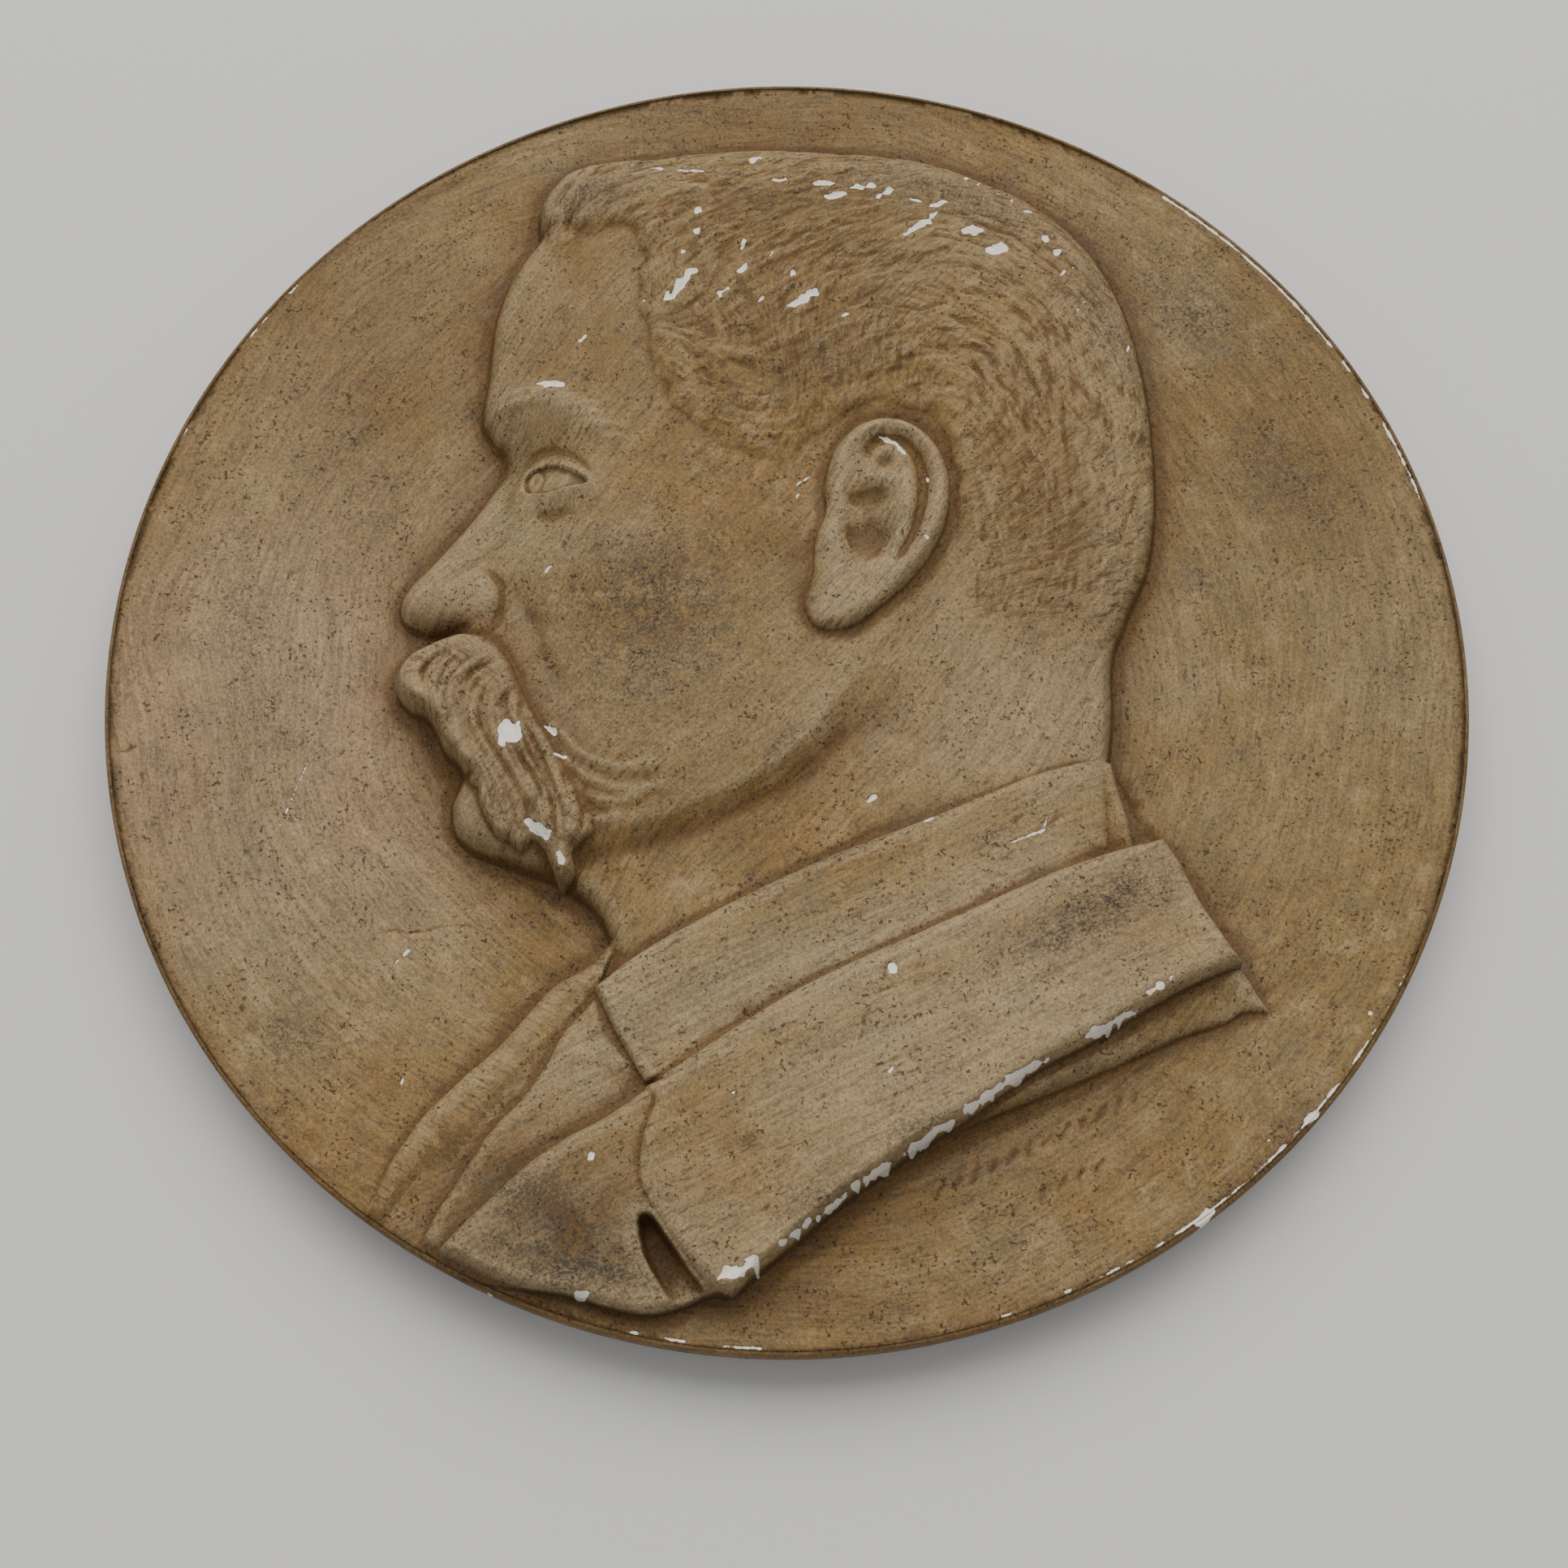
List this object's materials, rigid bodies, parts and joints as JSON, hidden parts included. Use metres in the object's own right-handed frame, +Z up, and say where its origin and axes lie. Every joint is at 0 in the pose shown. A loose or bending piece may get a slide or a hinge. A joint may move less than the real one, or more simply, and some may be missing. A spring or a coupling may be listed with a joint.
{
  "type": "plaster relief medallion",
  "caption": "Round cast plaster wall medallion with a bust in profile in relief on a dished field, plain rim and flat back.",
  "frame": {"origin": "centre of the flat back, where it bears on the wall", "axes": "+Z up as it hangs, +X to the right for someone facing the relief, +Y into the wall, so the relief faces -Y"},
  "size_m": [0.4, 0.0386, 0.4],
  "materials": {
    "plaster": "matte, patinated brown with worn edges and white chips"
  },
  "bodies": {
    "root": {"plaster_medallion": "plaster"}
  },
  "joints": []
}
